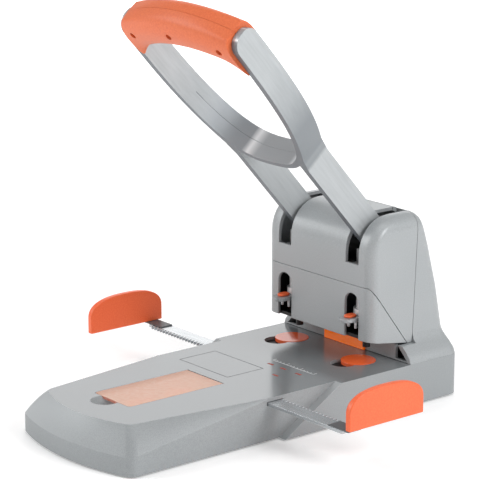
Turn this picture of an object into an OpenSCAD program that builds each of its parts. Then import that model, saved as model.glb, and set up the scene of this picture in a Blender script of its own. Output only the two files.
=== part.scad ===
// Heavy-duty two-hole punch with a fork lever, a self-centring paper guide and turning discs.
// Distances are in millimetres. Most modules work in the table frame: the table top is z = 0
// and the line through both disc centres is y = 0. The nose points to -Y.

/* [Base] */
// Length from the nose to the rear of the base
base_len = 332; // [322:1:342]
// Height of the base body, from its rim to the table
base_h = 33; // [30:1:38]
// Width of the base along the nose
nose_w = 138; // [132:1:142]
// Width of the table at the nose
nose_top_w = 108; // [100:1:114]
// How far the nose front bows out
nose_bow = 13; // [8:1:16]
// How far the nose front leans back up to the table
nose_lean = 11; // [6:1:14]
// Depth of the side crease below the table at the nose
nose_drop = 19; // [12:1:22]
// Length of the side crease
crease_len = 122; // [110:1:126]
// Width of the rear foot
rear_w = 152; // [148:1:158]
// Distance from the disc line to the rear face
rear_reach = 76; // [74:1:82]
// Length that the slanted front of the rear foot takes
step_len = 56; // [40:1:60]
// Wall of the base
base_wall = 3; // [2.4:0.2:3.6]
// Thickness of the table
table_t = 2.8; // [2.6:0.1:3.4]
// Radius of the rear upright corners
base_corner = 9; // [6:0.5:12]
// Radius of the nose's upright corners
nose_corner = 9; // [6:0.5:18]
// Thickness of the bottom plate
bottom_t = 2; // [1.6:0.2:3]
// Diameter of a rubber foot
foot_d = 16; // [12:1:20]
// Height of a rubber foot
foot_h = 1.5; // [1:0.1:3]

/* [Discs and storage] */
// Diameter of a cutting disc
disc_d = 27.5; // [25:0.5:29]
// Thickness of a cutting disc
disc_t = 3; // [2.9:0.1:3.2]
// Length of the storage lid
lid_l = 89; // [80:1:94]
// Width of the storage lid
lid_w = 44; // [38:1:50]
// Thickness of the storage lid
lid_t = 2; // [1.6:0.1:2.2]
// Distance from the disc line to the lid's hinged edge
lid_rear = 119.5; // [119:0.5:122]
// Depth of the storage tray below the table
tray_depth = 12; // [9:0.5:16]
// Swing of the lid
lid_open = 100; // [60:1:110]

/* [Paper guide] */
// Distance from the centre to each stop's inner face
stop_x = 155.4; // [150:0.2:160]
// Thickness of a stop
stop_t = 5; // [4:0.2:6]
// Length of a stop
stop_l = 72.6; // [68:0.2:80]
// Height of a stop
stop_h = 28.7; // [24:0.1:36]
// Distance from the disc line to the guide pinion
guide_y = 83; // [81:0.5:84]
// Module of the rack and pinion
gear_module = 1.2; // [1.1:0.05:1.25]
// Number of pinion teeth, an even count
gear_teeth = 34; // [32:2:34]
// Thickness of a guide bar
bar_t = 2.5; // [2:0.1:3]
// Width of a guide bar behind its teeth
bar_w = 12.5; // [10:0.5:12.5]
// Inward travel of each stop
guide_travel = 50; // [40:1:50]
// Backlash in the mesh
backlash = 0.3; // [0.2:0.05:0.4]

/* [Head] */
// Width of the head
head_w = 124; // [122:1:130]
// Height of the head above the table
head_top = 116; // [114:1:124]
// Distance from the disc line to the front face
head_front = 8; // [7.6:0.2:10]
// Height of the throat above the table
throat_h = 19.5; // [19:0.5:20]
// Wall of the covers
cover_t = 2.6; // [2:0.2:3]
// Gap in a seam between covers
seam = 0.4; // [0.3:0.1:0.6]
// Radius of the front top edge
front_round = 28; // [22:1:30]
// Radius of the side top edges
side_round = 12; // [8:1:14]
// Radius of the rear top edge
rear_round = 5; // [4:0.5:12]
// Radius of the upright corners
head_corner = 9; // [6:1:10]
// Height over which the column flares into the base
flare_h = 20; // [16:1:24]
// Height of the seam between hood and front panel
panel_seam = 62.5; // [60:0.5:66]
// Width of a lever slot
slot_w = 15; // [13:0.5:17]
// Lower end of the lever slots above the table
slot_low = 79.6; // [76:0.2:80]
// Rear end of the lever slots
slot_rear = 46; // [42:1:47]
// Width of a punch window
window_w = 16; // [15:0.5:18]
// Top of the punch windows above the table
window_top = 55.8; // [53:0.2:58]

/* [Punches] */
// Distance between the two holes
hole_pitch = 80; // [78:1:82]
// Diameter of a punched hole
hole_d = 6; // [5.5:0.1:6.4]
// Distance from the paper's edge to the hole centres
edge_margin = 12; // [11.8:0.2:12.6]
// Distance from the disc line back to the punches
punch_set = 8.3; // [8:0.1:8.6]
// Height of the cutting edge above the table at rest
tip_z = 9.5; // [9.4:0.1:10]
// Diameter of a punch holder
holder_d = 17; // [16:0.2:17.4]
// Diameter of the return spring's wire
spring_wire = 1.2; // [1:0.1:1.3]
// Turns of a return spring
spring_turns = 3.5; // [3:0.5:3.5]
// Forward pull of a release tab
tab_pull = 6; // [5.8:0.1:6.4]

/* [Lever] */
// Distance from the disc line back to the lever's shaft
pivot_y = 33; // [33:0.2:34]
// Height of the shaft above the table
pivot_z = 76.8; // [76.4:0.2:77.4]
// Rise of the raised lever above the horizontal
lever_deg = 48; // [46:0.5:50]
// Length of the lever from the shaft to the ends of the arms
lever_l = 265; // [255:0.5:275]
// Width over the lever's arms
arm_span = 138.4; // [132:0.2:142]
// Thickness of the lever's walls
arm_t = 6.2; // [5.6:0.1:6.6]
// Depth of the lever's arms
lever_depth = 22.2; // [20:0.2:24]
// Depth of the lever's legs
leg_depth = 23.8; // [22:0.2:25]
// How far the lever's middle lies behind its shaft
lever_set = 2.1; // [1:0.1:3]
// Distance from the shaft to where the legs start to spread
spread_start = 127; // [122:1:132]
// Distance from the shaft to the inner bottom of the loop
loop_low = 121.6; // [120:0.2:126]
// Thickness of the web at the loop's bottom
web_t = 4; // [3:0.2:6]
// Length over which the loop rounds to its full width
loop_round = 135; // [126:1:138]
// Distance from the shaft forward to the drive pins
drive_y = 22; // [21:0.2:22.4]
// Height of the drive pins above the shaft
drive_z = 4.8; // [4.4:0.1:5]
// Diameter of the shaft
shaft_d = 12; // [11:0.2:13]

/* [Grip] */
// Height of the grip along the lever
grip_h = 31; // [28:1:34]
// Depth of the grip at its middle
grip_d = 30; // [28:0.5:34]
// How far the grip's ends stand proud of the arms
grip_proud = 3; // [1:0.1:3.4]
// Rise of the grip's middle over its ends
grip_rise = 12; // [8:0.5:14]
// Diameter of the tube inside the grip
core_d = 10; // [8:0.5:11]
// How far the grip's lobes reach down the arms
lobe_drop = 8; // [4:0.5:10]

/* [Hidden] */
$fn = 64;

// Clearances
run_gap = 0.05;
slide_gap = 0.3;
eps = 0.01;

// Colours
shell_grey = [0.69, 0.70, 0.71];
dark_grey = [0.25, 0.26, 0.28];
black = [0.08, 0.08, 0.09];
steel = [0.75, 0.76, 0.78];
orange = [0.93, 0.41, 0.28];
amber = [0.85, 0.45, 0.12, 0.8];

// Where the table frame lies
table_z = foot_h + base_h;
disc_y = base_len / 2 - rear_reach;
nose_y = rear_reach - base_len;
corner_y = nose_y + nose_bow;
crease_y = corner_y + crease_len;
nose_end = crease_y + 4;
foot_front = crease_y + 2 * base_wall + base_corner;

crease_end = 1;
slope_swell = 1.6;
slope_steps = [0, 0.25, 0.5, 0.75, 1];

// Levels under the table
bar_top = -table_t - slide_gap;
bar_low = bar_top - bar_t;
anvil_top = -table_t;
anvil_t = 5;
carrier_top = bar_low - slide_gap;
carrier_t = 3;

// Guide sizes
gear_r = gear_module * gear_teeth / 2;
gear_pitch = PI * gear_module;
tooth_add = gear_module;
tooth_ded = 1.25 * gear_module;
pressure = 20;
bar_end = 3 * gear_pitch;
bar_edge = gear_r + tooth_ded + bar_w;
clamp_l = 22;
clamp_in = 3;
bar_short = 3.5;
axle_r = 4;
stop_low = -2.2;
stop_shift = 1.8;
stop_power = 2.5;

// Rings in one curl of a spring and sides of its wire
curl_rings = 8;
tube_sides = 6;

// Punch sizes
punch_x = hole_pitch / 2;
stripper_t = 2.7;
stripper_top = throat_h + stripper_t;
press_stroke = tip_z - (disc_t + anvil_top + 0.1) - slide_gap;
collar_low = stripper_top + press_stroke + 2 * slide_gap;
collar_r = holder_d / 2 + 2;
latch_low = collar_low + 2;
latch_t = 3;
latch_high = latch_low + latch_t + 2 * 0.2;
collar_top = latch_high + 4.4;
head_r = 5.5;
neck_r = 3.5;
pin_head_t = 6.6;
bridge_t = 4.5;
bridge_low = window_top - 1.8;
bridge_top = bridge_low + bridge_t;
flange_low = pivot_z - 3.3;
flange_t = 3;
flange_r = holder_d / 2 + 3.5;
drive_r = 2.5;
drive_play = 0.9;
lug_r = 5.5;
cheek_t = 4;
cheek_gap = 1.1;
pin_y = pivot_y - drive_y;
pin_z = pivot_z + drive_z;
spring_r = (holder_d / 2 + slide_gap + spring_wire / 2) / cos(180 / curl_rings);
stop_y = punch_set + edge_margin;
wall_y = stop_y + 2.2;

// Head frame sizes
frame_t = 4;
frame_x = head_w / 2 - cover_t - 2.9;
frame_in = frame_x - frame_t;
seam_low_y = pivot_y + 3.6;
seam_high_y = pivot_y + 8.7;
skirt_z = throat_h - 6.5;
skirt_y = seam_low_y - 5.1;
slant_y = -head_front + 1.5;

// Lever sizes
leg_out = punch_x + arm_t / 2;
leg_in = punch_x - arm_t / 2;
arm_out = arm_span / 2;
arm_in = arm_out - arm_t;
loop_mid = loop_low + loop_round;
loop_power = 2.85;
spread_ease = 7;
eye_r = 13;
grip_u = lever_l + grip_proud - grip_h / 2;
core_u = grip_u + 4;
spigot_r = 3;
spigot_end = arm_out - 1.5;

// Round shapes are built from these counts
bow_steps = 8;
corner_steps = 5;
arc_steps = 8;
curve_steps = 16;

// Shared helpers

module place() {
    translate([0, disc_y, table_z]) children();
}

module both_sides() {
    children();
    mirror([1, 0, 0]) children();
}

// Extrudes an outline drawn in (y, z) across the part's width
module across(w) {
    rotate([90, 0, 90]) linear_extrude(w, center = true) children();
}

// Puts a shape drawn in (x, along the lever, towards the lever's front) in its raised place
module on_lever() {
    translate([0, pivot_y, pivot_z]) rotate([180 - lever_deg, 0, 0]) children();
}

module at_punch(side) {
    translate([side * punch_x, punch_set, 0]) children();
}

module at_pinion() {
    translate([0, -guide_y, 0]) children();
}

// The stops and bars are one pair of mouldings, the left one turned half round the pinion
module guide_side(side) {
    at_pinion() rotate(side > 0 ? 0 : 180) children();
}

// A closed solid through rings of equally many points, listed anticlockwise from the last ring's side
module loft(rings) {
    m = len(rings[0]);
    n = len(rings);
    sides = [for (k = [0 : n - 2], i = [0 : m - 1], half = [0, 1])
        let (a = k * m + i, b = k * m + (i + 1) % m)
        half == 0 ? [a, b + m, b] : [a, a + m, b + m]];
    low = [for (i = [0 : m - 1]) i];
    high = [for (i = [m - 1 : -1 : 0]) (n - 1) * m + i];
    polyhedron([for (r = rings) each r], concat([low], sides, [high]), convexity = 6);
}

// Coordinate on a full oval: power 2 gives a circle, more a squarer shape
function oval(v, power) = sign(v) * pow(abs(v), 2 / power);

// One ring of a rounded rectangle at height z
function round_ring(hw, front, rear, rf, rr, z) = concat(
    [for (i = [0 : corner_steps]) let (a = 180 + 90 * i / corner_steps)
        [-hw + rf + rf * cos(a), front + rf + rf * sin(a), z]],
    [for (i = [0 : corner_steps]) let (a = 270 + 90 * i / corner_steps)
        [hw - rf + rf * cos(a), front + rf + rf * sin(a), z]],
    [for (i = [0 : corner_steps]) let (a = 90 * i / corner_steps)
        [hw - rr + rr * cos(a), rear - rr + rr * sin(a), z]],
    [for (i = [0 : corner_steps]) let (a = 90 + 90 * i / corner_steps)
        [-hw + rr + rr * cos(a), rear - rr + rr * sin(a), z]]);

// Base

// A bowed front edge with round corners, from its left end to its right end
function bowed_front(hw, front, r) =
    let (lean = atan(2 * nose_bow * (hw - r) / (hw * hw)),
        xe = hw - r + r * sin(lean),
        ye = front + nose_bow * pow(xe / hw, 2),
        cy = ye + r * cos(lean),
        right = concat(
            [for (i = [0 : bow_steps]) let (x = xe * i / bow_steps) [x, front + nose_bow * pow(x / hw, 2)]],
            [for (i = [1 : corner_steps]) let (a = -90 + lean + (90 - lean) * i / corner_steps)
                [hw - r + r * cos(a), cy + r * sin(a)]]))
    concat([for (i = [len(right) - 1 : -1 : 1]) [-right[i][0], right[i][1]]], right);

// Outline of the nose for a front of the given width, with the table's rear corners
function nose_outline(inset, front_w, lean) =
    let (hw = nose_w / 2 - inset)
    concat(
        bowed_front(front_w / 2 - inset, nose_y + lean + inset, nose_corner - inset),
        [[hw, nose_end], [-hw, nose_end]]);

module rear_plan(inset) {
    hw = rear_w / 2 - inset;
    r = base_corner - inset;
    translate([-hw, crease_y]) square([2 * hw, rear_reach - inset - r - crease_y]);
    translate([-hw + r, crease_y]) square([2 * (hw - r), rear_reach - inset - crease_y]);
    for (s = [-1, 1]) translate([s * (hw - r), rear_reach - inset - r]) circle(r);
}

// How far the crease lies below the table at y
function crease_depth(y) =
    crease_end + (nose_drop - crease_end) * min(1, max(0, (crease_y - y) / crease_len));

// Rings from the crease (t = 0) up to the table (t = 1), swelling slightly between them
function slope_ring(t, inset, top) =
    let (low = nose_outline(inset, nose_w, 0),
        high = nose_outline(inset + crease_end * 0.5, nose_top_w, nose_lean))
    [for (i = [0 : len(low) - 1])
        let (d = crease_depth(low[i][1]), p = low[i] + (high[i] - low[i]) * t)
        [p[0], p[1], top - d * (1 - t) + slope_swell * d / nose_drop * 4 * t * (1 - t)]];

// Nose with its crease: upright below it, drawn in to the narrower table above it
module nose_body(inset, top, low) {
    rim = [for (p = nose_outline(inset, nose_w, 0)) [p[0], p[1], low]];
    loft(concat([rim], [for (t = slope_steps) slope_ring(t, inset, top)]));
}

// Middle and rear foot, whose wider sides start on a slant
module rear_body(inset, top, low) {
    hw = nose_w / 2 - inset;
    translate([-hw, nose_end, low]) cube([2 * hw, rear_reach / 2 - nose_end, top - low]);
    intersection() {
        translate([0, 0, low]) linear_extrude(top - low) rear_plan(inset);
        across(2 * rear_w) polygon([
            [foot_front + inset, low], [foot_front + step_len + inset, top],
            [rear_reach + 1, top], [rear_reach + 1, low]]);
    }
}

screw_spots = [
    [nose_w / 2 - 19, corner_y + 24],
    [nose_w / 2 - 11, crease_y - 17],
    [rear_w / 2 - 10, rear_reach - 10]];
screw_r = 1.5;
boss_r = 4;
tray_wall = 1.6;
tray_y = lid_rear + tray_wall + 0.1;
hinge_r = lid_t / 2;
dish_r = 11;
dish_depth = 4.5;
dish_ball = (dish_r * dish_r + dish_depth * dish_depth) / (2 * dish_depth);
lid_corner = 3;
lid_x = -2.5;
notch_r = 10.3;
notch_x = -1.5;
notch_y = -disc_d / 2 - 0.8;
anvil_front = notch_y - notch_r - 2;
hinge_y = -lid_rear - hinge_r;

module screw_bosses() {
    both_sides() for (p = screw_spots)
        translate([p[0], p[1], -base_h + bottom_t])
            cylinder(h = base_h - bottom_t - table_t / 2, r = boss_r);
}

// Openings in the table: disc wells, their finger notches, the lid's recess and dish, the frame's feet
module table_cuts() {
    both_sides() {
        translate([punch_x, 0, -table_t - 1]) cylinder(h = table_t + 2, d = disc_d + 2 * slide_gap);
        translate([frame_in - 15, wall_y + cover_t + 0.6, -table_t - 1])
            cube([frame_t + 16, 39, table_t + 2]);
    }
    for (s = [-1, 1]) translate([s * punch_x + notch_x, notch_y, -table_t - 1])
        cylinder(h = table_t + 2, r = notch_r);
    translate([lid_x, 0, -lid_t - slide_gap / 2]) linear_extrude(lid_t + 1)
        lid_plan(slide_gap, lid_l + 2 * slide_gap);
    translate([lid_x, hinge_y, -hinge_r]) rotate([0, 90, 0])
        cylinder(h = lid_w + 6, r = hinge_r * 0.6 + run_gap, center = true);
    at_dish() translate([0, 0, dish_ball - dish_depth]) sphere(r = dish_ball);
}

// Outline of the lid over a length l, round at its front corners
module lid_plan(grow, l) {
    hw = lid_w / 2 + grow;
    front = hinge_y - lid_l + hinge_r - grow;
    translate([-hw, front + lid_corner]) square([2 * hw, l - lid_corner]);
    translate([-hw + lid_corner, front]) square([2 * (hw - lid_corner), l]);
    for (s = [-1, 1]) translate([s * (hw - lid_corner), front + lid_corner]) circle(lid_corner);
}

// Finger dish at the lid's front edge
module at_dish() {
    translate([lid_x - 2, -lid_rear - lid_l - 4.5, 0]) children();
}

// Bowl that carries the dish under the table
module dish_bowl() {
    at_dish() translate([0, 0, -dish_depth - 1.6]) cylinder(h = dish_depth + 1.6 - table_t / 2, r = dish_r);
}

module tray_outer() {
    translate([lid_x - lid_w / 2, -tray_y - lid_l + 7, -tray_depth - tray_wall])
        cube([lid_w, lid_l - 7 + eps, tray_depth + tray_wall - table_t / 2]);
}

module tray_inner() {
    translate([lid_x - lid_w / 2 + tray_wall, -tray_y - lid_l + 7 + tray_wall, -tray_depth])
        cube([lid_w - 2 * tray_wall, lid_l - 7 - 2 * tray_wall, tray_depth + 1]);
}

// Slot in a side wall for one guide bar
module bar_mouth(side) {
    guide_side(side) translate([nose_w / 4, -bar_edge - slide_gap, bar_low - slide_gap])
        cube([rear_w, bar_w + tooth_ded + tooth_add + 2 * slide_gap, bar_t + 2 * slide_gap]);
}

module base_shell() {
    color(shell_grey) place() difference() {
        union() {
            difference() {
                union() {
                    nose_body(0, 0, -base_h);
                    rear_body(0, 0, -base_h);
                }
                nose_body(base_wall, -table_t, -base_h - 1);
                rear_body(base_wall, -table_t, -base_h - 1);
            }
            tray_outer();
            dish_bowl();
            screw_bosses();
        }
        table_cuts();
        tray_inner();
        bar_mouth(1);
        bar_mouth(-1);
        both_sides() for (p = screw_spots)
            translate([p[0], p[1], -base_h]) cylinder(h = base_h - table_t - 2, r = screw_r + run_gap);
    }
}

module bottom_outline(inset) {
    polygon(nose_outline(inset, nose_w, 0));
    translate([-nose_w / 2 + inset, crease_y]) square([nose_w - 2 * inset, rear_reach / 2 - crease_y]);
    intersection() {
        rear_plan(inset);
        translate([-rear_w, foot_front + inset + step_len * 1.5 * bottom_t / base_h + slide_gap])
            square([2 * rear_w, base_len]);
    }
}

module bottom_plate() {
    color(dark_grey) place() translate([0, 0, -base_h]) difference() {
        linear_extrude(bottom_t) bottom_outline(base_wall + slide_gap);
        both_sides() for (p = screw_spots) translate([p[0], p[1], -1]) {
            cylinder(h = bottom_t + 2, r = screw_r + run_gap);
            cylinder(h = 2, r = 2 * screw_r + 0.3);
        }
    }
}

foot_spots = [[nose_w / 2 - 22, corner_y + 42], [rear_w / 2 - 18, rear_reach - 30]];

module rubber_feet() {
    color(black) place() both_sides() for (p = foot_spots)
        translate([p[0], p[1], -base_h - foot_h]) {
            cylinder(h = foot_h, d = foot_d);
        }
}

module base_screws() {
    color(steel) place() both_sides() for (p = screw_spots)
        translate([p[0], p[1], -base_h]) {
            cylinder(h = 1, r = 2 * screw_r);
            cylinder(h = base_h / 3, r = screw_r);
        }
}

// Steel plate under the discs that carries the punching force
bolt_y = [wall_y + 14, wall_y + 30];
bolt_r = 2.5;
bolt_x = frame_in - 6.5;

module anvil_plate() {
    color(steel) place() difference() {
        translate([-frame_x - 1, anvil_front, anvil_top - anvil_t])
            cube([2 * frame_x + 2, wall_y + 41 - anvil_front, anvil_t]);
        both_sides() for (y = bolt_y)
            translate([bolt_x, y, anvil_top - anvil_t - 1]) cylinder(h = anvil_t + 2, r = bolt_r + run_gap);
    }
}

// Plastic plate under the guide bars, with ribs that hold them up to the table
module guide_carrier() {
    color(dark_grey) place() at_pinion() difference() {
        union() {
            translate([-nose_w / 2 + base_wall + 2, -bar_edge - 1, carrier_top - carrier_t])
                cube([nose_w - 2 * base_wall - 4, 2 * bar_edge + 2, carrier_t]);
            for (x = [-1, 1], y = [-1, 1])
                translate([x * (gear_r + tooth_add + 16), y * gear_r / 3, carrier_top - carrier_t])
                    cylinder(h = carrier_t - carrier_top - table_t, r = boss_r);
        }
        translate([0, 0, carrier_top - carrier_t - 1]) cylinder(h = carrier_t + 2, r = axle_r + run_gap / 2);
    }
}

module pinion_axle() {
    color(steel) place() at_pinion() translate([0, 0, carrier_top - carrier_t])
        cylinder(h = bar_top - carrier_top + carrier_t, r = axle_r);
}

module spare_discs() {
    color(orange) place() for (k = [-1, 1])
        translate([lid_x, -tray_y - lid_l / 2 + 3.5 + k * (disc_d / 2 + 5), -tray_depth])
            cylinder(h = disc_t, d = disc_d);
}

module cutting_disc(side) {
    color(orange) place() translate([side * punch_x, 0, anvil_top + 0.1])
        cylinder(h = disc_t, d = disc_d);
}

// Clear lid over the tray, hinged on two short pins along its rear edge
module storage_lid() {
    color(amber) place() {
        translate([lid_x, 0, -lid_t]) linear_extrude(lid_t) lid_plan(0, lid_l - hinge_r);
        translate([lid_x, hinge_y, -hinge_r]) rotate([0, 90, 0]) {
            cylinder(h = lid_w, r = hinge_r, center = true);
            cylinder(h = lid_w + 4, r = hinge_r * 0.6, center = true);
        }
    }
}

module paper_stop() {
    color(amber) place() translate([-hole_pitch / 2 + 16.5, stop_y, 0.2])
        cube([hole_pitch - 33, wall_y - stop_y, throat_h - 1.2]);
}

// Paper guide

function inv(a) = tan(a) * 180 / PI - a;

// Half the angle that a tooth takes at radius r
function tooth_half(r) =
    let (base_r = gear_r * cos(pressure))
    (PI * gear_module / 2 - backlash) / (2 * gear_r) * 180 / PI + inv(pressure)
        - inv(acos(min(1, base_r / max(r, base_r))));

function polar(r, a) = [r * cos(a), r * sin(a)];

flank_r = [for (i = [0 : 4]) gear_r - tooth_ded + (tooth_add + tooth_ded) * i / 4];

module guide_pinion() {
    color("white") place() at_pinion() translate([0, 0, bar_low]) difference() {
        linear_extrude(bar_t) polygon([for (k = [0 : gear_teeth - 1])
            let (mid = -90 + 360 * k / gear_teeth)
            each concat(
                [for (i = [0 : 4]) polar(flank_r[i], mid - tooth_half(flank_r[i]))],
                [for (i = [4 : -1 : 0]) polar(flank_r[i], mid + tooth_half(flank_r[i]))])]);
        translate([0, 0, -1]) cylinder(h = bar_t + 2, r = axle_r + run_gap);
        for (k = [0 : 5]) rotate(60 * k) translate([gear_r * 0.6, 0, -1]) cylinder(h = bar_t + 2, r = 3.2);
    }
}

// A flat bar with rack teeth on the edge that faces the pinion
module guide_bar(side) {
    half = PI * gear_module / 4 - backlash / 2;
    lean = tan(pressure);
    root_y = -gear_r - tooth_ded;
    tip_y = -gear_r + tooth_add * 0.9;
    tip_half = half - tooth_add * 0.9 * lean;
    root_half = half + tooth_ded * lean;
    last = floor((stop_x - bar_short) / gear_pitch) - 2;
    color(steel) place() guide_side(side) translate([0, 0, bar_low]) linear_extrude(bar_t) polygon(concat(
        [[stop_x - bar_short, -bar_edge], [stop_x - bar_short, root_y]],
        [for (j = [last : -1 : -3], k = [0 : 3])
            let (mid = (j + 0.5) * gear_pitch,
                dx = [root_half, tip_half, -tip_half, -root_half][k],
                y = [root_y, tip_y, tip_y, root_y][k])
            [mid + dx, y]],
        [[-bar_end - 2, root_y], [-bar_end - 2, -bar_edge]]));
}

// Upright stop with a domed top edge
module stop_outline() {
    far = stop_l / 2;
    rise = 0.575 * stop_h;
    base_z = stop_low + stop_h - rise;
    polygon(concat(
        [[far, stop_low]],
        [for (i = [0 : 2 * curve_steps]) let (a = 90 * i / curve_steps)
            [far * oval(cos(a), stop_power), base_z + rise * oval(sin(a), stop_power)]],
        [[-far, stop_low]]));
}

module guide_stop(side) {
    color(orange) place() guide_side(side)
        translate([stop_x + stop_t / 2, side * stop_shift, 0]) across(stop_t) stop_outline();
}

// Dark plate between the bar's end and the stop
module bar_clamp(side) {
    color(dark_grey) place() guide_side(side)
        translate([stop_x + clamp_in - clamp_l, -bar_edge, bar_top])
            cube([clamp_l, bar_w, stop_low - bar_top]);
}

// Head covers

function fillet_in(r, t) = r - sqrt(max(0, r * r - t * t));
function head_half(z) = head_w / 2 - fillet_in(side_round, max(0, z - head_top + side_round));
function head_fore(z) = -head_front + fillet_in(front_round, max(0, z - head_top + front_round));
function head_back(z) = rear_reach - 0.12 * z - 0.0011 * z * z
    - fillet_in(rear_round, max(0, z - head_top + rear_round));
function flare(z) = z < flare_h ? (rear_w - head_w) / 4 * (1 + cos(180 * z / flare_h)) : 0;

head_levels = concat(
    [for (i = [0 : 5]) flare_h * i / 5],
    [(flare_h + head_top - front_round) / 2],
    [for (i = [0 : arc_steps]) head_top - front_round + front_round * sin(90 * i / arc_steps)]);

// The whole head as one form, shrunk by the wall for its hollow
module head_form(inset, flared) {
    loft([for (z = head_levels)
        let (most = (head_back(z) - head_fore(z)) / 2 - 1)
        round_ring(
            head_half(z) + (flared ? flare(z) : 0) - inset,
            head_fore(z) + inset,
            head_back(z) - inset,
            min(head_corner, most) - inset, min(base_corner, most) - inset, z - inset)]);
}

module head_wall(flared) {
    difference() {
        head_form(0, flared);
        head_form(cover_t, flared);
    }
}

module lever_slots() {
    both_sides() translate([punch_x - slot_w / 2, -head_front - 20, slot_low])
        cube([slot_w, head_front + 20 + slot_rear, head_top]);
}

module windows() {
    r = window_w / 2;
    both_sides() translate([punch_x, -head_front - 10, 0]) {
        translate([0, 0, window_top - r]) rotate([-90, 0, 0]) cylinder(h = 10 + cover_t * 2, r = r);
        translate([-r, 0, throat_h - 1]) cube([window_w, 10 + cover_t * 2, window_top - r - throat_h + 1]);
    }
}

hood_far = head_top + 10;

module hood() {
    color(shell_grey) place() difference() {
        intersection() {
            head_wall(false);
            across(2 * rear_w) polygon([
                [-head_front - 10, panel_seam + seam], [slant_y + seam / 2, panel_seam + seam],
                [skirt_y + seam, skirt_z], [seam_low_y, skirt_z],
                [seam_high_y, hood_far], [-head_front - 10, hood_far]]);
        }
        lever_slots();
    }
}

module front_panel() {
    color(shell_grey) place() difference() {
        intersection() {
            head_wall(false);
            across(2 * rear_w) polygon([
                [-head_front - 10, throat_h], [-head_front - 10, panel_seam],
                [slant_y, panel_seam], [skirt_y, skirt_z], [-head_front, throat_h]]);
        }
        windows();
    }
}

// Column cover that flares out into the base, with the throat's rear wall
module rear_cover() {
    color(shell_grey) place() difference() {
        union() {
            intersection() {
                head_wall(true);
                across(2 * rear_w) polygon([
                    [wall_y, 0], [wall_y, skirt_z - seam], [seam_low_y + seam, skirt_z - seam],
                    [seam_high_y + seam, hood_far], [rear_w, hood_far], [rear_w, 0]]);
            }
            intersection() {
                head_form(0, true);
                translate([-rear_w, wall_y, seam]) cube([2 * rear_w, cover_t, skirt_z - 2 * seam]);
            }
            translate([-frame_x, wall_y, seam]) cube([2 * frame_x, cover_t, throat_h - 2 * seam]);
        }
        lever_slots();
        // Openings at the wall's ends
        both_sides() intersection() {
            head_form(cover_t + slide_gap, true);
            translate([frame_x + 2, wall_y - 1, 1.5]) cube([rear_w, cover_t + 2, skirt_z]);
        }
    }
}

// Head frame

// C-shaped side plate: foot, column, round top over the shaft and an arm over the throat
module frame_profile() {
    foot_y = wall_y + cover_t + 1;
    arm_y = -head_front + cover_t + 1.5;
    difference() {
        union() {
            polygon([
                [foot_y, anvil_top], [foot_y + 36, anvil_top], [foot_y + 35, throat_h],
                [pivot_y + 16, pivot_z], [pivot_y, pivot_z + 16], [pivot_y - 16, pivot_z],
                [arm_y, bridge_top + 4], [arm_y, throat_h], [foot_y, throat_h]]);
            translate([pivot_y, pivot_z]) circle(16);
        }
        translate([pivot_y, pivot_z]) circle(shaft_d / 2 + run_gap);
    }
}

module frame_side(side) {
    color(black) place() mirror([side < 0 ? 1 : 0, 0, 0]) {
        translate([frame_in + frame_t / 2, 0, 0]) across(frame_t) frame_profile();
        difference() {
            translate([frame_in - 13, wall_y + cover_t + 1, anvil_top]) cube([13 + eps, 36, frame_t]);
            for (y = bolt_y) translate([bolt_x, y, anvil_top - 1])
                cylinder(h = frame_t + 2, r = bolt_r + run_gap);
        }
    }
}

module frame_bolts() {
    color(steel) place() both_sides() for (y = bolt_y) translate([bolt_x, y, anvil_top]) {
        translate([0, 0, -anvil_t]) cylinder(h = anvil_t + frame_t, r = bolt_r);
        translate([0, 0, frame_t]) cylinder(h = 4, r = 2 * bolt_r, $fn = 6);
    }
}

module cross_plate(z, t) {
    translate([-frame_in, -head_front + cover_t, z])
        cube([2 * frame_in, wall_y + head_front - cover_t - 0.6, t]);
}

// Lower plate that guides the punches and strips the paper off them
module stripper_plate() {
    color(steel) place() difference() {
        cross_plate(throat_h, stripper_t);
        both_sides() at_punch(1) translate([0, 0, throat_h - 1])
            cylinder(h = stripper_t + 2, r = hole_d / 2 + run_gap);
    }
}

bush_r = holder_d / 2 + 2.4;

module bridge_plate() {
    color(steel) place() difference() {
        cross_plate(bridge_low, bridge_t);
        both_sides() at_punch(1) translate([0, 0, bridge_low - 1])
            cylinder(h = bridge_t + 2, r = bush_r + run_gap / 2);
    }
}

module holder_bushes() {
    color([0.72, 0.55, 0.30]) place() both_sides() at_punch(1) translate([0, 0, bridge_low])
        difference() {
            cylinder(h = bridge_t, r = bush_r);
            translate([0, 0, -1]) cylinder(h = bridge_t + 2, r = holder_d / 2 + run_gap);
        }
}

module along_shaft() {
    translate([0, pivot_y, pivot_z]) rotate([0, 90, 0]) children();
}

module hinge_shaft() {
    color(steel) place() along_shaft() cylinder(h = head_w - 2 * cover_t, d = shaft_d, center = true);
}

module shaft_clips() {
    color(black) place() both_sides() along_shaft() translate([0, 0, frame_x + 0.1]) difference() {
        cylinder(h = 1.2, d = shaft_d + 6);
        translate([0, 0, -1]) cylinder(h = 4, d = shaft_d + 2 * run_gap);
    }
}

module shaft_spacers() {
    spans = [
        [-leg_in + slide_gap, leg_in - slide_gap],
        [leg_out + slide_gap, frame_in - run_gap],
        [-frame_in + run_gap, -leg_out - slide_gap]];
    color(steel) place() along_shaft() for (s = spans) translate([0, 0, s[0]]) difference() {
        cylinder(h = s[1] - s[0], d = shaft_d + 6);
        translate([0, 0, -1]) cylinder(h = s[1] - s[0] + 2, d = shaft_d + 2 * run_gap);
    }
}

// Lever

// The arms and the grip lie a little behind the plane through the shaft
module on_arm() {
    on_lever() translate([0, 0, -lever_set]) children();
}

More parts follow.
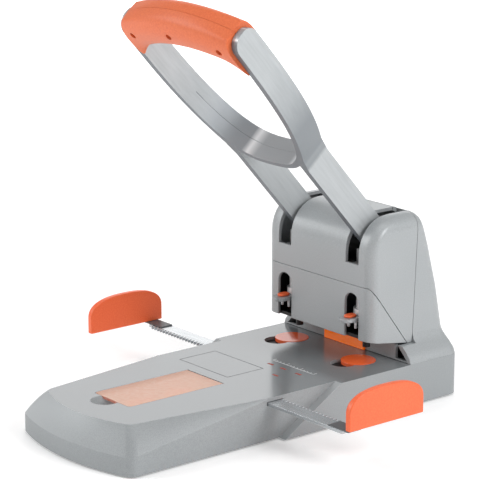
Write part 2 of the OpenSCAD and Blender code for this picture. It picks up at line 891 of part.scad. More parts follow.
// Half the outer width of the lever at distance u from the shaft
function spread(u, from) = 1 - pow(1 - min(1, max(0, (u - from) / (lever_l - from))), 3.2);
function lever_half(u) = leg_out + (arm_out - leg_out)
    * (spread(u, spread_start - spread_ease) + spread(u, spread_start + spread_ease)) / 2;

// Lower half of a full oval about the loop's middle
function loop_curve(a, b, from, to) = [for (i = [0 : 2 * curve_steps])
    let (t = from + (to - from) * i / curve_steps / 2)
        [a * oval(sin(t), loop_power), loop_mid - b * oval(cos(t), loop_power)]];

spread_levels = concat([-eye_r],
    [for (i = [0 : 2 * curve_steps])
        spread_start - spread_ease + (lever_l - spread_start + spread_ease) * i / curve_steps / 2]);

module lever_outline() {
    top = len(spread_levels) - 1;
    web_edge = asin(pow(leg_in / arm_out, loop_power / 2));
    difference() {
        polygon(concat(
            [for (u = spread_levels) [lever_half(u), u]],
            [for (i = [top : -1 : 0]) [-lever_half(spread_levels[i]), spread_levels[i]]]));
        polygon(concat(loop_curve(arm_in, loop_round, -90, 90),
            [[arm_in, lever_l + 1], [-arm_in, lever_l + 1]]));
        polygon(concat(loop_curve(arm_out, loop_round + web_t, -web_edge, web_edge),
            [[leg_in, -2 * eye_r], [-leg_in, -2 * eye_r]]));
    }
}

// Side view of the lever: an eye at the shaft, legs that are a little deeper, rounded arm ends
module lever_profile() {
    rear = -lever_set - lever_depth / 2;
    front = rear + lever_depth;
    front_r = 10.5;
    rear_r = 8.5;
    circle(eye_r);
    polygon([
        [0, rear], [lever_l - rear_r, rear], [lever_l, rear + rear_r], [lever_l, front - front_r],
        [lever_l - front_r, front], [spread_start, rear + leg_depth], [0, rear + leg_depth]]);
    translate([lever_l - front_r, front - front_r]) circle(front_r);
    translate([lever_l - rear_r, rear + rear_r]) circle(rear_r);
}

// Where the drive pins sit in the lever's own frame
drive_u = drive_y * cos(lever_deg) + drive_z * sin(lever_deg);
drive_n = drive_y * sin(lever_deg) - drive_z * cos(lever_deg);

// Horn from the eye to the drive pin
module drive_horn() {
    rotate(atan2(drive_n, drive_u)) translate([0, -lug_r]) square([norm([drive_u, drive_n]), 2 * lug_r]);
    translate([drive_u, drive_n]) circle(lug_r);
}

module handle_frame() {
    color(steel) place() on_lever() difference() {
        union() {
            intersection() {
                linear_extrude(4 * eye_r, center = true) lever_outline();
                across(2 * arm_span) lever_profile();
            }
            both_sides() translate([punch_x, 0, 0]) across(arm_t) drive_horn();
        }
        rotate([0, 90, 0]) cylinder(h = 2 * arm_span, d = shaft_d + 2 * run_gap, center = true);
        translate([0, drive_u, drive_n]) rotate([0, 90, 0])
            cylinder(h = 2 * arm_span, r = drive_r + run_gap / 2, center = true);
        translate([0, core_u, -lever_set]) rotate([0, 90, 0])
            cylinder(h = 2 * spigot_end, r = spigot_r + run_gap / 2, center = true);
    }
}

module drive_pins() {
    color(steel) place() on_lever() both_sides() translate([punch_x, drive_u, drive_n]) rotate([0, 90, 0])
        cylinder(h = arm_t + 2 * (cheek_gap + cheek_t) + 1, r = drive_r, center = true);
}

// Tube between the arms inside the grip, with a spigot through each arm
module grip_core() {
    color(steel) place() on_arm() difference() {
        translate([0, core_u, 0]) rotate([0, 90, 0]) {
            cylinder(h = 2 * (arm_in - run_gap), d = core_d, center = true);
            cylinder(h = 2 * spigot_end, r = spigot_r, center = true);
        }
        at_grip_screws() translate([0, 0, -grip_d / 2]) cylinder(h = grip_d, r = screw_r + run_gap);
    }
}

grip_end = arm_in - 0.4;
grip_steps = 24;
half_steps = 12;
lobe_w = 16;

// Fuller towards the middle: 0 at the ends, 1 halfway
function swell(x) = 1 - pow(x / grip_end, 2);
function lobe(x) = lobe_drop * pow(max(0, (abs(x) - grip_end + lobe_w) / lobe_w), 2);

// One ring across the grip, on the front half (f = 1) or the rear half (f = -1)
function grip_ring(x, f) =
    let (mid = grip_u + grip_rise * swell(x),
        h = grip_h / 2,
        end_d = lever_depth / 2 + grip_proud,
        d = end_d + (grip_d / 2 - end_d) * swell(x),
        power = (f > 0 ? 0.42 : 0.28) + 0.33 * swell(x),
        drop = f > 0 ? lobe(x) : 0)
    [for (i = [0 : half_steps])
        let (a = -90 + 180 * i / half_steps)
        [x, mid - h * f * sin(a) - drop * max(0, sin(2 * a)), f * (0.1 + d * pow(abs(cos(a)), power))]];

screw_x = [-grip_end + 11.5, 0, grip_end - 11.5];
screw_seat = 7;

module at_grip_screws() {
    for (x = screw_x) translate([x, grip_u + grip_rise * swell(x) + 1.5, 0]) children();
}

module grip_half(f) {
    loft([for (i = [0 : grip_steps]) grip_ring(-grip_end * cos(180 * i / grip_steps), f)]);
}

module grip_bore() {
    translate([0, core_u, 0]) rotate([0, 90, 0])
        cylinder(h = 2 * arm_span, d = core_d + 2 * run_gap, center = true);
}

module grip_screw_cuts() {
    at_grip_screws() {
        translate([0, 0, screw_seat]) cylinder(h = grip_d, r = 2.8);
        cylinder(h = grip_d, r = screw_r + run_gap);
    }
}

// Front half, whose lobes reach down the arms' inner faces
module grip_front() {
    color(orange) place() on_arm() difference() {
        grip_half(1);
        grip_bore();
        grip_screw_cuts();
    }
}

module grip_rear() {
    color(orange) place() on_arm() difference() {
        grip_half(-1);
        grip_bore();
        at_grip_screws() translate([0, 0, -8]) cylinder(h = 10, r = screw_r + run_gap);
    }
}

module grip_screws() {
    color(steel) place() on_arm() at_grip_screws() {
        translate([0, 0, screw_seat]) cylinder(h = 2, r = 2.6);
        translate([0, 0, -7.5]) cylinder(h = screw_seat + 8, r = screw_r);
    }
}

// Punch units

// Turned holder with a latch slot, a spring flange and a fork round the lever's leg
module punch_holder(side) {
    fork = arm_t / 2 + cheek_gap;
    slot_h = 2 * (drive_r + drive_play);
    slot_from = pin_y - punch_set - drive_r - 1.2;
    slot_to = slot_from + 2 * drive_r + 6.6;
    color(steel) place() at_punch(side) difference() {
        union() {
            translate([0, 0, collar_low]) cylinder(h = collar_top - collar_low, r = collar_r);
            translate([0, 0, collar_low]) cylinder(h = flange_low + flange_t - collar_low, d = holder_d);
            translate([0, 0, flange_low]) cylinder(h = flange_t, r = flange_r);
            for (s = [-1, 1]) translate([s * (fork + cheek_t / 2) - cheek_t / 2, slot_from - 3, flange_low])
                cube([cheek_t, slot_to - slot_from + 6, pin_z + slot_h / 2 + 3 - flange_low]);
        }
        // Gap for the lever's leg
        translate([-fork, -30, flange_low - 1]) cube([2 * fork, 60, 40]);
        // Long hole for the drive pin
        translate([-30, slot_from + slot_h / 2, pin_z]) rotate([0, 90, 0]) cylinder(h = 60, d = slot_h);
        translate([-30, slot_to - slot_h / 2, pin_z]) rotate([0, 90, 0]) cylinder(h = 60, d = slot_h);
        translate([-30, slot_from + slot_h / 2, pin_z - slot_h / 2])
            cube([60, slot_to - slot_from - slot_h, slot_h]);
        // Slot for the release tab and socket for the punch
        translate([-tab_w / 2 - 0.2, -30, latch_low]) cube([tab_w + 0.4, 60, latch_high - latch_low]);
        translate([0, 0, collar_low - 1]) cylinder(h = latch_high - collar_low + 1, r = head_r + 0.3);
        translate([0, 0, latch_high - eps]) cylinder(h = pin_head_t + 0.2, r = head_r + run_gap);
        translate([0, 0, latch_high]) cylinder(h = 20, r = hole_d / 2 - 0.4);
    }
}

// Hollow punch: cutting tube, neck in the latch and head in the holder
module punch_pin(side) {
    bore = hole_d / 2 - 0.5;
    top = latch_high + pin_head_t;
    color(black) place() at_punch(side) difference() {
        union() {
            translate([0, 0, tip_z]) cylinder(h = top - tip_z, d = hole_d);
            translate([0, 0, latch_low - 0.6]) cylinder(h = latch_high - latch_low + 1, r = neck_r);
            translate([0, 0, latch_high]) cylinder(h = pin_head_t, r = head_r);
        }
        translate([0, 0, tip_z - 1]) cylinder(h = top - tip_z + 2, r = bore);
        translate([0, 0, tip_z - eps]) cylinder(h = 1.2, r1 = hole_d / 2 - 0.05, r2 = bore);
    }
}

tab_w = 13;
tab_front = -head_front - 11.5 - punch_set;
pad_set = 5;
pad_t = 2;

// Latch plate with a keyhole, pulled forward to free the punch
module release_tab(side) {
    r = tab_w / 2;
    wide = head_r + 0.2;
    color([0.62, 0.63, 0.65]) place() at_punch(side) translate([0, 0, latch_low + 0.2]) difference() {
        union() {
            translate([0, tab_front + r, 0]) cylinder(h = latch_t, r = r);
            translate([-r, tab_front + r, 0]) cube([tab_w, -tab_front - r + tab_pull + wide + 2, latch_t]);
        }
        translate([0, 0, -1]) cylinder(h = latch_t + 2, r = neck_r + 0.15);
        translate([-neck_r - 0.15, 0, -1]) cube([2 * neck_r + 0.3, tab_pull, latch_t + 2]);
        translate([0, tab_pull, -1]) cylinder(h = latch_t + 2, r = wide);
    }
}

// Raised thumb pad on the tab
module release_button(side) {
    pad_r = tab_w / 2 - 2.8;
    pad_l = 3.4;
    color(orange) place() at_punch(side)
        translate([0, tab_front + pad_set + pad_r, latch_low + 0.2 + latch_t]) {
            cylinder(h = pad_t, r = pad_r);
            translate([0, pad_l, 0]) cylinder(h = pad_t, r = pad_r);
            translate([-pad_r, 0, 0]) cube([2 * pad_r, pad_l, pad_t]);
        }
}

// Return spring: one tube wound up the holder between bridge and flange
spring_low = bridge_top + spring_wire / 2 + run_gap;
spring_rise = flange_low - bridge_top - spring_wire - 2 * run_gap;
spring_rings = curl_rings * spring_turns;

function spring_point(k) = let (a = 360 * (k + 0.5) / curl_rings)
    [spring_r * cos(a), spring_r * sin(a), spring_low + spring_rise * k / spring_rings];

function spring_ring(k) = let (a = 360 * (k + 0.5) / curl_rings, c = spring_point(k))
    [for (i = [0 : tube_sides - 1]) let (b = -360 * i / tube_sides)
        c + spring_wire / 2 * [cos(b) * cos(a), cos(b) * sin(a), sin(b)]];

spring_gap = min([for (i = [0 : spring_rings - 5], j = [i + 5 : spring_rings])
    norm(spring_point(i) - spring_point(j))]) - spring_wire;
echo(least_gap_between_spring_turns = spring_gap);

module return_spring(side) {
    color(steel) place() at_punch(side) mirror([side < 0 ? 1 : 0, 0, 0])
        loft([for (k = [0 : spring_rings]) spring_ring(k)]);
}

base_shell();
bottom_plate();
rubber_feet();
base_screws();
anvil_plate();
guide_carrier();
pinion_axle();
spare_discs();
paper_stop();
hood();
front_panel();
rear_cover();
frame_side(-1);  // frame_left
frame_side(1);  // frame_right
frame_bolts();
stripper_plate();
bridge_plate();
holder_bushes();
hinge_shaft();
shaft_clips();
shaft_spacers();
handle_frame();
grip_front();
grip_rear();
grip_core();
grip_screws();
drive_pins();
punch_holder(-1);  // punch_holder_left
punch_holder(1);  // punch_holder_right
punch_pin(-1);  // punch_pin_left
punch_pin(1);  // punch_pin_right
return_spring(-1);  // return_spring_left
return_spring(1);  // return_spring_right
release_tab(-1);  // release_tab_left
release_tab(1);  // release_tab_right
release_button(-1);  // release_button_left
release_button(1);  // release_button_right
guide_bar(-1);  // guide_bar_left
guide_bar(1);  // guide_bar_right
guide_stop(-1);  // guide_stop_left
guide_stop(1);  // guide_stop_right
bar_clamp(-1);  // bar_clamp_left
bar_clamp(1);  // bar_clamp_right
guide_pinion();
cutting_disc(-1);  // cutting_disc_left
cutting_disc(1);  // cutting_disc_right
storage_lid();
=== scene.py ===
import math

import bmesh
import bpy
from mathutils import Matrix, Vector


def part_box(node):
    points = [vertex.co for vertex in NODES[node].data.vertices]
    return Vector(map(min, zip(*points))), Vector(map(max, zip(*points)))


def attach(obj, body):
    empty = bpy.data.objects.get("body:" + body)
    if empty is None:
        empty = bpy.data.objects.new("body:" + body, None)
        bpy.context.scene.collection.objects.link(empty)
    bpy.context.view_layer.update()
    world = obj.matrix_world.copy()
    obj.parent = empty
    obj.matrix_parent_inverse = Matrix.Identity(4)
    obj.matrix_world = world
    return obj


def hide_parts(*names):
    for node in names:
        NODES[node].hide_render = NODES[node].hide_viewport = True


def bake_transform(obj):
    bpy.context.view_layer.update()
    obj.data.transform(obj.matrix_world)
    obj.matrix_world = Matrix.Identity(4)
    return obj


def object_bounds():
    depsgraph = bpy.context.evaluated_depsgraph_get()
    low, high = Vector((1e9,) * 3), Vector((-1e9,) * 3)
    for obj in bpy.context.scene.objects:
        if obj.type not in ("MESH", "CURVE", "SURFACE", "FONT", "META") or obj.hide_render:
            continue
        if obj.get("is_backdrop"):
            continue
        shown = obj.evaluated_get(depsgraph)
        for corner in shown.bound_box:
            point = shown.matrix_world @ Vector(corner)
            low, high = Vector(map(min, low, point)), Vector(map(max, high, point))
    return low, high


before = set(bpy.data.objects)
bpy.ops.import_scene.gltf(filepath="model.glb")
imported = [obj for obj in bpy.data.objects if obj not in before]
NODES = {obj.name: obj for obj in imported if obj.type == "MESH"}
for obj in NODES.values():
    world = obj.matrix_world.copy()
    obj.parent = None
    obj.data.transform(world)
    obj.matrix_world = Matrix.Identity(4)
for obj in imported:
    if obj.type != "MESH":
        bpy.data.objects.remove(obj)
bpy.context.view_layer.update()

MM = 0.001
TABLE_Y = 0.090   # disc line, in metres of the shared frame
TABLE_Z = 0.0345  # table top
LEVER_DEG = 48    # rise of the lever at rest
RISE = math.radians(LEVER_DEG)
LEVER_UP = Vector((0, -math.cos(RISE), math.sin(RISE)))      # along the lever, from its shaft
LEVER_FRONT = Vector((0, -math.sin(RISE), -math.cos(RISE)))  # out of the lever's front edge
SIDES = (("left", -1), ("right", 1))


def at(x, y, z):
    """A point given in millimetres from the middle of the disc line on the table."""
    return Vector((x * MM, y * MM + TABLE_Y, z * MM + TABLE_Z))


# Materials

GRAIN_DETAIL = 3.0                      # fine grain
PATCH_SCALE, PATCH_DETAIL = 14.0, 2.0   # broad patches
PATCH_SHARE = 0.25                      # share of the patches in the tone
DARK_UNDER, LIGHT_OVER = 0.34, 0.66     # noise values with the full dark and light tone
RELIEF = 0.0004                         # height of the grain in metres
COAT_ROUGHNESS, SUB_SCALE = 0.2, 0.004


def linear(rgb):
    """A display colour given in 0 to 255 as linear values."""
    return tuple(
        (c / 255 / 12.92) if c <= 10 else ((c / 255 + 0.055) / 1.055) ** 2.4 for c in rgb
    ) + (1.0,)


def add_node(tree, kind, values=None, **settings):
    """A new shader node with its settings and the values of its inputs."""
    node = tree.nodes.new(kind)
    for name, setting in settings.items():
        setattr(node, name, setting)
    for socket, value in (values or {}).items():
        node.inputs[socket].default_value = value
    return node


def surface(name, dark, light, rough, metallic=0.0, grain=900.0, stretch=(1, 1, 1), turn=0.0,
            bump=0.02, rough_spread=0.06, coat=0.0, transmission=0.0, alpha=1.0, sub=0.0, faces=(),
            painted_glow=0.0, painted_glow_colour=(255, 255, 255)):
    """A surface whose colour wanders between two tones, with a fine grain in roughness and relief.

    turn tilts the grain about X. faces gives a tone and a roughness of their own to faces by the
    way they look, one after another: (axis, cosine where it starts, cosine where it is full,
    colour, roughness). Some of these tones are painted light and shade, others a finish of the
    face's own."""
    material = bpy.data.materials.new(name)
    material.use_nodes = True
    tree = material.node_tree
    tree.nodes.clear()
    link = tree.links.new

    where = add_node(tree, "ShaderNodeTexCoord")
    tilt = add_node(tree, "ShaderNodeMapping", {"Rotation": (math.radians(turn), 0, 0)})
    link(where.outputs["Object"], tilt.inputs["Vector"])
    spread = add_node(tree, "ShaderNodeMapping", {"Scale": stretch})
    link(tilt.outputs["Vector"], spread.inputs["Vector"])
    fine = add_node(tree, "ShaderNodeTexNoise", {"Scale": grain, "Detail": GRAIN_DETAIL})
    link(spread.outputs["Vector"], fine.inputs["Vector"])
    broad = add_node(tree, "ShaderNodeTexNoise", {"Scale": PATCH_SCALE, "Detail": PATCH_DETAIL})
    link(where.outputs["Object"], broad.inputs["Vector"])
    patches = add_node(tree, "ShaderNodeMath", {1: PATCH_SHARE}, operation="MULTIPLY")
    link(broad.outputs["Fac"], patches.inputs[0])
    both = add_node(tree, "ShaderNodeMath", {1: 1 - PATCH_SHARE}, operation="MULTIPLY_ADD")
    link(fine.outputs["Fac"], both.inputs[0])
    link(patches.outputs[0], both.inputs[2])

    tone = add_node(tree, "ShaderNodeValToRGB")
    low, high = tone.color_ramp.elements
    low.position, low.color = DARK_UNDER, linear(dark)
    high.position, high.color = LIGHT_OVER, linear(light)
    link(both.outputs[0], tone.inputs["Fac"])
    colour = tone.outputs["Color"]
    gloss = add_node(tree, "ShaderNodeMapRange",
                     {"To Min": rough - rough_spread, "To Max": rough + rough_spread})
    link(both.outputs[0], gloss.inputs["Value"])
    roughness = gloss.outputs["Result"]

    # Tones by the way faces look: some are painted light and shade, others a face's own finish.
    for axis, start, full, face_colour, face_rough in faces:
        along = add_node(tree, "ShaderNodeVectorMath", {1: axis}, operation="DOT_PRODUCT")
        link(where.outputs["Normal"], along.inputs[0])
        share = add_node(tree, "ShaderNodeMapRange", {"From Min": start, "From Max": full})
        link(along.outputs["Value"], share.inputs["Value"])
        tone_and_painted_light = add_node(tree, "ShaderNodeMix", {"B": linear(face_colour)}, data_type="RGBA")
        link(share.outputs["Result"], tone_and_painted_light.inputs["Factor"])
        link(colour, tone_and_painted_light.inputs["A"])
        colour = tone_and_painted_light.outputs["Result"]
        polish = add_node(tree, "ShaderNodeMix", {"B": face_rough})
        link(share.outputs["Result"], polish.inputs["Factor"])
        link(roughness, polish.inputs["A"])
        roughness = polish.outputs["Result"]

    relief = add_node(tree, "ShaderNodeBump", {"Strength": bump, "Distance": RELIEF})
    link(fine.outputs["Fac"], relief.inputs["Height"])
    # Emission here is painted light: a part that shines though it is no lamp.
    bsdf = add_node(tree, "ShaderNodeBsdfPrincipled", {
        "Metallic": metallic, "Coat Weight": coat, "Coat Roughness": COAT_ROUGHNESS,
        "Transmission Weight": transmission, "Alpha": alpha, "Subsurface Weight": sub,
        "Subsurface Scale": SUB_SCALE, "Emission Color": linear(painted_glow_colour),
        "Emission Strength": painted_glow,
    })
    link(colour, bsdf.inputs["Base Color"])
    link(roughness, bsdf.inputs["Roughness"])
    link(relief.outputs["Normal"], bsdf.inputs["Normal"])
    out = add_node(tree, "ShaderNodeOutputMaterial")
    link(bsdf.outputs["BSDF"], out.inputs["Surface"])
    return material


UP = (0, 0, 1)
NOSE_LEFT_PAINTED_LIGHT = (-0.6, -0.5, 0.62)  # out of the left part of the nose's bevel, which gets a painted light tone
M = {
    "shell": surface("shell_plastic", (156, 160, 162), (174, 178, 180), 0.38, metallic=0.15,
                     grain=1500, bump=0.04),
    # The base is the shell's plastic made darker: painted shade.
    "base": surface("base_plastic_painted_shade", (144, 148, 150), (162, 166, 168), 0.52, metallic=0.15,
                    grain=1500, bump=0.04,
                    # painted light on the left part of the nose's bevel
                    faces=[(NOSE_LEFT_PAINTED_LIGHT, 0.66, 0.9, (182, 186, 188), 0.45),
                           (UP, 0.9, 0.99, (131, 135, 137), 0.15)]),  # table
    "dark": surface("dark_plastic", (44, 46, 49), (58, 60, 63), 0.55),
    "rubber": surface("foot_rubber", (20, 20, 20), (30, 30, 31), 0.8, grain=600, bump=0.1),
    "steel": surface("satin_steel", (160, 163, 166), (200, 203, 205), 0.32, metallic=0.8, grain=500,
                     stretch=(0.08, 1, 1)),
    "plated": surface("plated_steel", (214, 216, 217), (230, 231, 232), 0.3, metallic=0.1,
                      grain=600, stretch=(1, 1, 0.1)),
    "bright": surface("bright_steel", (180, 184, 187), (200, 203, 205), 0.24, metallic=0.8,
                      grain=500, stretch=(0.08, 1, 1), rough_spread=0.04),
    "clamp": surface("clamp_grey", (84, 88, 91), (100, 104, 107), 0.45),
    "black": surface("black_steel", (10, 10, 11), (18, 18, 20), 0.45, grain=700, bump=0.05),
    "bronze": surface("bush_bronze", (140, 104, 60), (176, 136, 84), 0.35, metallic=0.9),
    # The lever's tones by the direction of its faces are painted light and shade.
    "aluminium": surface("satin_aluminium", (174, 178, 180), (186, 190, 192), 0.45, metallic=0.3,
                         grain=420, stretch=(1, 0.06, 1), turn=LEVER_DEG, bump=0.01,
                         faces=[(-LEVER_UP, 0.04, 0.3, (134, 139, 143), 0.42),  # painted shade on the outside of the bends
                                (LEVER_UP, 0.08, 0.42, (132, 137, 141), 0.42),  # painted shade inside the loop
                                (LEVER_UP, 0.84, 0.9, (214, 217, 219), 0.35),   # painted highlight, a bright streak in the loop
                                (LEVER_UP, 0.91, 0.97, (160, 164, 167), 0.42),  # painted shade, lighter than the rest of the loop, on its lowest part
                                (LEVER_FRONT, 0.55, 0.92, (112, 117, 122), 0.4)]),  # painted shade on the front edges
    "grip": surface("soft_grip", (218, 102, 56), (230, 116, 66), 0.5, grain=700, bump=0.05,
                    coat=0.1, sub=0.05),
    "orange": surface("orange_plastic", (240, 100, 56), (248, 114, 66), 0.36, bump=0.03, sub=0.05),
    "disc": surface("disc_plastic", (240, 98, 56), (248, 112, 66), 0.12, bump=0.01,
                    rough_spread=0.03),
    # The amber stop has a painted glow: it shines in its own colour, though it is no lamp.
    "amber": surface("amber_plastic", (240, 112, 10), (250, 126, 16), 0.14, grain=300, bump=0.01,
                     transmission=0.1, painted_glow=0.28, painted_glow_colour=(255, 112, 6)),
    "lid": surface("clear_lid", (250, 192, 158), (253, 204, 172), 0.12, grain=300, bump=0.01,
                   transmission=0.15, alpha=0.55,
                   faces=[(UP, 0.85, 0.35, (214, 74, 22), 0.14)]),  # edges
    "tab": surface("tab_grey", (150, 153, 156), (178, 181, 183), 0.36, metallic=0.3),
    "white": surface("pinion_plastic", (214, 213, 206), (232, 231, 224), 0.5),
    "print": surface("print_ink", (214, 216, 217), (230, 231, 232), 0.6, grain=1200),
    "print_dark": surface("print_dark", (62, 64, 66), (78, 80, 82), 0.6, grain=1200),
    "print_red": surface("print_red", (150, 58, 46), (176, 76, 60), 0.6, grain=1200),
    "floor": surface("pale_floor", (247, 247, 247), (251, 251, 251), 0.6, grain=40, bump=0.0),
}

FINISH = {
    "base_shell": "base", "hood": "shell", "front_panel": "shell", "rear_cover": "shell",
    "bottom_plate": "dark", "guide_carrier": "dark", "rubber_feet": "rubber",
    "base_screws": "steel", "anvil_plate": "black", "pinion_axle": "steel", "spare_discs": "disc",
    "paper_stop": "amber", "frame_left": "black", "frame_right": "black", "frame_bolts": "steel",
    "stripper_plate": "black", "bridge_plate": "black", "holder_bushes": "bronze",
    "hinge_shaft": "steel", "shaft_clips": "black", "shaft_spacers": "black",
    "handle_frame": "aluminium", "grip_front": "grip", "grip_rear": "grip", "grip_core": "steel",
    "grip_screws": "steel", "drive_pins": "steel", "guide_pinion": "white", "storage_lid": "lid",
}
PAIR_FINISH = {
    "punch_holder": "plated", "punch_pin": "black", "return_spring": "steel",
    "release_tab": "tab", "release_button": "orange", "guide_bar": "bright",
    "guide_stop": "orange", "bar_clamp": "clamp", "cutting_disc": "disc",
}

# Edge rounding in millimetres, of single nodes and of those in pairs
EDGE = {
    "handle_frame": 1.2, "base_shell": 0.9, "hood": 0.6, "front_panel": 0.6, "rear_cover": 0.6,
    "grip_front": 0.5, "grip_rear": 0.5, "storage_lid": 0.5, "rubber_feet": 0.4,
}
PAIR_EDGE = {"guide_stop": 0.8, "release_tab": 0.5, "release_button": 0.8, "cutting_disc": 0.3}
OTHER_EDGE = 0.2
for side, _ in SIDES:
    FINISH.update({f"{name}_{side}": finish for name, finish in PAIR_FINISH.items()})
    EDGE.update({f"{name}_{side}": width for name, width in PAIR_EDGE.items()})

# Least fold that is rounded, in degrees: the nose has a shallow crease
FOLD = {"base_shell": 19}
OTHER_FOLD = 32
WELD_GAP = 2e-6  # metres between points that are joined before rounding
FLAT_DEG = 0.5   # folds under this are taken as flat


def round_edges(obj, width, angle):
    weld = obj.modifiers.new("weld", "WELD")
    weld.merge_threshold = WELD_GAP
    flat = obj.modifiers.new("flat", "DECIMATE")
    flat.decimate_type = "DISSOLVE"
    flat.angle_limit = math.radians(FLAT_DEG)
    edge = obj.modifiers.new("edge", "BEVEL")
    edge.width = width * MM
    edge.segments = 2
    edge.limit_method = "ANGLE"
    edge.angle_limit = math.radians(angle)
    edge.harden_normals = True
    even = obj.modifiers.new("even", "WEIGHTED_NORMAL")
    even.keep_sharp = True


for name, obj in NODES.items():
    obj.data.materials.clear()
    obj.data.materials.append(M[FINISH[name]])
    obj.data.shade_smooth()
    round_edges(obj, EDGE.get(name, OTHER_EDGE), FOLD.get(name, OTHER_FOLD))


# Pieces beyond the solids

def new_piece(name, bm, material, body=None, smooth=True):
    """An object of the shapes in bm, which rides on a body where one is given."""
    mesh = bpy.data.meshes.new(name)
    bm.normal_update()
    bm.to_mesh(mesh)
    bm.free()
    if smooth:
        mesh.shade_smooth()
    mesh.materials.append(material)
    obj = bpy.data.objects.new(name, mesh)
    bpy.context.scene.collection.objects.link(obj)
    if body:
        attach(obj, body)
    return obj


def add_tube(bm, points, radius, sides):
    """A closed round tube along a path of points."""
    turns = [2 * math.pi * k / sides for k in range(sides)]
    rings = []
    for i, p in enumerate(points):
        along = (points[min(i + 1, len(points) - 1)] - points[max(i - 1, 0)]).normalized()
        out = along.cross(Vector((0, 0, 1))).normalized()
        up = out.cross(along)
        rings.append([bm.verts.new(p + radius * (math.cos(a) * out + math.sin(a) * up))
                      for a in turns])
    for low, high in zip(rings, rings[1:]):
        for k in range(sides):
            bm.faces.new((low[k], low[(k + 1) % sides], high[(k + 1) % sides], high[k]))
    bm.faces.new(rings[0][::-1])
    bm.faces.new(rings[-1])


def add_box(bm, low, high):
    """A box between two opposite corners."""
    made = bmesh.ops.create_cube(bm, size=1.0)["verts"]
    place = Matrix.Translation((low + high) / 2) @ Matrix.Diagonal((*(high - low), 1))
    bmesh.ops.transform(bm, matrix=place, verts=made)


# Return springs of round wire
SPRING_R, SPRING_WIRE, SPRING_TURNS, SPRING_STEPS, SPRING_SIDES = 9.6, 1.1, 4.5, 24, 8
PUNCH_X, PUNCH_Y = 40, 8.3
for side, sign in SIDES:
    low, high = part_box(f"return_spring_{side}")
    foot, head = low[2] + SPRING_WIRE / 2 * MM, high[2] - SPRING_WIRE / 2 * MM
    steps = int(SPRING_TURNS * SPRING_STEPS)
    mid = at(sign * PUNCH_X, PUNCH_Y, 0)
    path = []
    for i in range(steps + 1):
        # Both wind the same way, so that the last half turn is clear of the lever's leg
        a = -2 * math.pi * i / SPRING_STEPS
        path.append(Vector((mid.x + SPRING_R * MM * math.cos(a),
                            mid.y + SPRING_R * MM * math.sin(a),
                            foot + (head - foot) * i / steps)))
    bm = bmesh.new()
    add_tube(bm, path, SPRING_WIRE / 2 * MM, SPRING_SIDES)
    coil = new_piece(f"coil_spring_{side}", bm, M["steel"])
    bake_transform(coil)
    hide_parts(f"return_spring_{side}")

# Parting ridge of the casting round the inside of the lever's loop, on the corners of its wall
PIVOT_Y, PIVOT_Z, LEVER_SET = 33, 76.8, 2.1
LOOP_HALF, LOOP_ROUND, LOOP_MID, LOOP_POWER = 63.0, 135, 256.6, 2.85
LOOP_STEP, LOOP_REACH = 180 / 32, 11  # degrees between corners, corners each way from the middle
RIDGE_R, RIDGE_SIDES = 0.25, 6
path = []
for i in range(-LOOP_REACH, LOOP_REACH + 1):
    a = math.radians(LOOP_STEP * i)
    across = math.copysign(abs(math.sin(a)) ** (2 / LOOP_POWER), a)
    down = math.cos(a) ** (2 / LOOP_POWER)
    along = LEVER_UP * (LOOP_MID - LOOP_ROUND * down) - LEVER_FRONT * LEVER_SET
    path.append(at(LOOP_HALF * across, PIVOT_Y, PIVOT_Z) + along * MM)
bm = bmesh.new()
add_tube(bm, path, RIDGE_R * MM, RIDGE_SIDES)
new_piece("loop_parting_ridge", bm, M["aluminium"], "lever")

# Two bright pins under each release tab, level with the panel's wall
PIN_R, PIN_TIP_R, PIN_L, PIN_SINK, PIN_SPREAD, PIN_Y, PIN_SIDES = 1.3, 1.04, 6.2, 0.2, 4.0, -6.9, 20
for side, sign in SIDES:
    tab_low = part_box(f"release_tab_{side}")[0][2]
    bm = bmesh.new()
    for step in (-1, 1):
        place = at(sign * PUNCH_X + step * PIN_SPREAD, PIN_Y, 0)
        place.z = tab_low + (PIN_SINK - PIN_L / 2) * MM
        bmesh.ops.create_cone(bm, cap_ends=True, segments=PIN_SIDES, radius1=PIN_TIP_R * MM,
                              radius2=PIN_R * MM, depth=PIN_L * MM,
                              matrix=Matrix.Translation(place))
    new_piece(f"tab_pins_{side}", bm, M["plated"], f"latch_{side}")

# Print on the table, with plain marks and no words
INK_LOW, INK_HIGH = -0.02, 0.05
LINE = 0.5  # width of a printed line


def flat_mark(bm, x0, y0, x1, y1):
    """A thin printed patch on the table."""
    add_box(bm, at(x0, y0, INK_LOW), at(x1, y1, INK_HIGH))


RULE_X0, RULE_X1, RULE_Y, RULE_STEPS = -2, 46, -52.5, 12
TICK, LONG_TICK, LONG_EVERY = 2.2, 4, 4
bm = bmesh.new()
flat_mark(bm, RULE_X0, RULE_Y, RULE_X1, RULE_Y + LINE)
for i in range(RULE_STEPS + 1):
    x = RULE_X0 + (RULE_X1 - RULE_X0) * i / RULE_STEPS
    tick = LONG_TICK if i % LONG_EVERY == 0 else TICK
    flat_mark(bm, x - LINE / 2, RULE_Y + LINE, x + LINE / 2, RULE_Y + tick)
new_piece("table_rule", bm, M["print"], "base")

MARK_HALF_X, MARK_HALF_Y = 3.2, 1.1
MARKS = ((5, -60.5), (20, -60.5), (38, -60.5), (29, -76))
bm = bmesh.new()
for x, y in MARKS:
    flat_mark(bm, x - MARK_HALF_X, y - MARK_HALF_Y, x + MARK_HALF_X, y + MARK_HALF_Y)
new_piece("table_marks", bm, M["print_red"], "base")

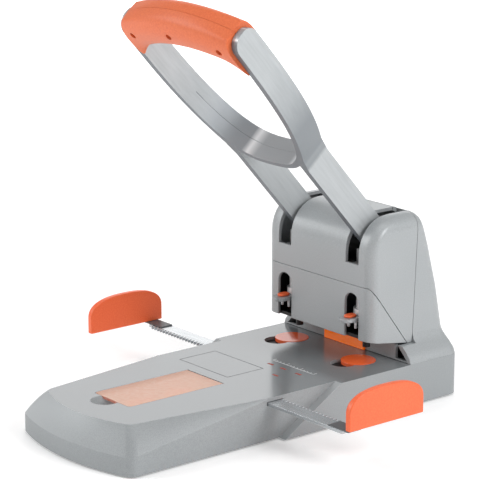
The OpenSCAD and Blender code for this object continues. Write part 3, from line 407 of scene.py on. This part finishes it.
# Frame of a label that stays bare
LABEL_X0, LABEL_Y0, LABEL_X1, LABEL_Y1 = -50, -108, 10, -72
bm = bmesh.new()
flat_mark(bm, LABEL_X0, LABEL_Y0, LABEL_X1, LABEL_Y0 + LINE)
flat_mark(bm, LABEL_X0, LABEL_Y1 - LINE, LABEL_X1, LABEL_Y1)
flat_mark(bm, LABEL_X0, LABEL_Y0 + LINE, LABEL_X0 + LINE, LABEL_Y1 - LINE)
flat_mark(bm, LABEL_X1 - LINE, LABEL_Y0 + LINE, LABEL_X1, LABEL_Y1 - LINE)
new_piece("table_label_frame", bm, M["print_dark"], "base")


# Stage

def fade_glow(material, near, far, low, high):
    """Lets a surface shine more with the distance from the object, in metres."""
    tree = material.node_tree
    where = add_node(tree, "ShaderNodeTexCoord")
    away = add_node(tree, "ShaderNodeVectorMath", operation="LENGTH")
    tree.links.new(where.outputs["Object"], away.inputs[0])
    share = add_node(tree, "ShaderNodeMapRange",
                     {"From Min": near, "From Max": far, "To Min": low, "To Max": high})
    tree.links.new(away.outputs["Value"], share.inputs["Value"])
    bsdf = next(n for n in tree.nodes if n.type == "BSDF_PRINCIPLED")
    tree.links.new(share.outputs["Result"], bsdf.inputs["Emission Strength"])


def area_light(name, place, target, size, power):
    """A round lamp with a width in metres and a power in watts."""
    data = bpy.data.lights.new(name, "AREA")
    data.shape = "DISK"
    data.size = size
    data.energy = power
    obj = bpy.data.objects.new(name, data)
    obj.location = place
    obj.rotation_euler = (Vector(target) - Vector(place)).to_track_quat("-Z", "Y").to_euler()
    bpy.context.scene.collection.objects.link(obj)


FLOOR_HALF, FLOOR_T = 6, 0.02
fade_glow(M["floor"], near=0.6, far=2.2, low=0.2, high=0.7)
bm = bmesh.new()
add_box(bm, Vector((-FLOOR_HALF, -FLOOR_HALF, -FLOOR_T)), Vector((FLOOR_HALF, FLOOR_HALF, 0)))
floor = new_piece("floor", bm, M["floor"], smooth=False)
floor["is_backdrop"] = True

area_light("key", place=(-1.3, -1.6, 1.3), target=(0, 0, 0.12), size=1.6, power=24)
area_light("top", place=(0.2, 0.2, 2.2), target=(0, 0, 0.1), size=1.6, power=10)
area_light("side", place=(1.8, 0.6, 1.2), target=(0, 0, 0.12), size=1.2, power=25)
# Its reflection lightens the front of the table
area_light("card", place=(-2.0, 1.64, 1.0), target=(0, 0, 0.1), size=1.8, power=10)

SKY_STRENGTH = 0.38
world = bpy.data.worlds.new("studio")
bpy.context.scene.world = world
world.use_nodes = True
sky = world.node_tree.nodes["Background"]
sky.inputs["Color"].default_value = (1, 1, 1, 1)
sky.inputs["Strength"].default_value = SKY_STRENGTH
bpy.context.scene.view_settings.view_transform = "Standard"

# Camera, solved from the photo: 80 mm between the discs fixes the scale
CAMERA_PLACE, CAMERA_LOOK = (1.2512, -1.0210, 0.5469), (-0.7505, 0.6137, -0.2451)
SENSOR, LENS, SIGHT = 36.0, 164.1, 20  # millimetres, millimetres, metres
camera_data = bpy.data.cameras.new("camera")
camera_data.sensor_width = SENSOR
camera_data.lens = LENS
camera_data.clip_end = SIGHT
camera = bpy.data.objects.new("camera", camera_data)
camera.location = CAMERA_PLACE
camera.rotation_mode = "QUATERNION"
camera.rotation_quaternion = Vector(CAMERA_LOOK).to_track_quat("-Z", "Y")
bpy.context.scene.collection.objects.link(camera)
bpy.context.scene.camera = camera

low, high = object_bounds()
